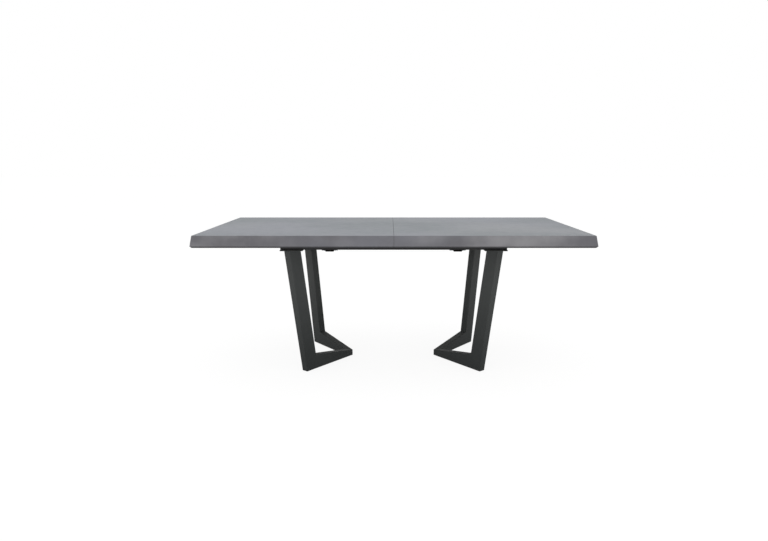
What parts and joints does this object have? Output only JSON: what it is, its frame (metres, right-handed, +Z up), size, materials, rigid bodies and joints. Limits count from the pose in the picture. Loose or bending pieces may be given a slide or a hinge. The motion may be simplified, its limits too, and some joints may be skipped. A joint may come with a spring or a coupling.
{
  "type": "extendable dining table",
  "caption": "Rectangular extendable dining table with a stone-look top split across its middle, halves geared to slide apart over a steel underframe on V-footed slanting legs.",
  "frame": {"origin": "on the floor under the centre of the closed table", "axes": "+X along the table, -Y to the front, +Z up"},
  "size_m": [2, 1, 0.77],
  "materials": {
    "stone_top": "matt concrete-look sheet",
    "leaf_stone": "board with the same matt concrete-look face",
    "board": "raw fibreboard",
    "edge_band": "matt grey edge band with a fine mottle",
    "aluminium": "mill finish extrusion",
    "slide_nylon": "natural nylon",
    "zinc_steel": "bright zinc plate",
    "leg_steel": "matt anthracite powder coat",
    "frame_steel": "matt black powder coat",
    "wood_dowel": "beech",
    "bronze": "sintered bronze",
    "glide_plastic": "black polyethylene",
    "rubber_pad": "black rubber"
  },
  "bodies": {
    "frame": {"channel_screws": "zinc_steel", "cross_bar_left": "frame_steel", "cross_bar_right": "frame_steel", "floor_glides": "glide_plastic", "foot_arm_front_left": "leg_steel", "foot_arm_front_right": "leg_steel", "foot_arm_rear_left": "leg_steel", "foot_arm_rear_right": "leg_steel", "frame_bolts": "zinc_steel", "frame_end_tube_left": "frame_steel", "frame_end_tube_right": "frame_steel", "frame_rail_front": "frame_steel", "frame_rail_rear": "frame_steel", "leaf_bearer_front": "frame_steel", "leaf_bearer_rear": "frame_steel", "leaf_half_lower": "leaf_stone", "leaf_half_upper": "leaf_stone", "leaf_hinges": "zinc_steel", "leaf_rest_pads": "rubber_pad", "leg_plates": "leg_steel", "leg_post_front_left": "leg_steel", "leg_post_front_right": "leg_steel", "leg_post_rear_left": "leg_steel", "leg_post_rear_right": "leg_steel", "pinion_axle": "zinc_steel", "pinion_bridge": "frame_steel", "rack_guides": "slide_nylon", "slide_channel_front": "aluminium", "slide_channel_rear": "aluminium"},
    "top_left": {"carrier_board_left": "board", "edge_band_left": "edge_band", "edge_doubler_end_left": "board", "edge_doubler_front_left": "board", "edge_doubler_rear_left": "board", "latch_bases": "zinc_steel", "rack_bracket_left": "zinc_steel", "rack_left": "zinc_steel", "seam_dowels": "wood_dowel", "slide_bar_front_left": "aluminium", "slide_bar_rear_left": "aluminium", "slide_pads_left": "slide_nylon", "top_screws_left": "zinc_steel", "top_sheet_left": "stone_top"},
    "top_right": {"carrier_board_right": "board", "edge_band_right": "edge_band", "edge_doubler_end_right": "board", "edge_doubler_front_right": "board", "edge_doubler_rear_right": "board", "latch_strikes": "zinc_steel", "rack_bracket_right": "zinc_steel", "rack_right": "zinc_steel", "slide_bar_front_right": "aluminium", "slide_bar_rear_right": "aluminium", "slide_pads_right": "slide_nylon", "top_screws_right": "zinc_steel", "top_sheet_right": "stone_top"},
    "pinion": {"pinion": "zinc_steel", "pinion_bush": "bronze"},
    "latch_front": {"latch_lever_front": "zinc_steel"},
    "latch_rear": {"latch_lever_rear": "zinc_steel"}
  },
  "joints": [
    {"name": "top_left_slide", "type": "slide", "parent": "frame", "child": "top_left", "axis": [-1, 0, 0], "range_m": [0, 0.25]},
    {"name": "top_right_slide", "type": "slide", "parent": "frame", "child": "top_right", "axis": [1, 0, 0], "range_m": [0, 0.25]},
    {"name": "pinion_spin", "type": "hinge", "parent": "frame", "child": "pinion", "pos_m": [0, 0, 0.696], "axis": [0, 0, 1], "range_deg": [0, 477.5]},
    {"name": "latch_front_swing", "type": "hinge", "parent": "top_left", "child": "latch_front", "pos_m": [-0.025, -0.40823, 0.7427], "axis": [0, 0, -1], "range_deg": [0, 75]},
    {"name": "latch_rear_swing", "type": "hinge", "parent": "top_left", "child": "latch_rear", "pos_m": [-0.025, 0.40823, 0.7427], "axis": [0, 0, 1], "range_deg": [0, 75]}
  ],
  "couplings": [
    {"joint": "top_right_slide", "follows": "top_left_slide", "ratio": 1},
    {"joint": "pinion_spin", "follows": "top_left_slide", "rad_per_m": 33.333}
  ]
}
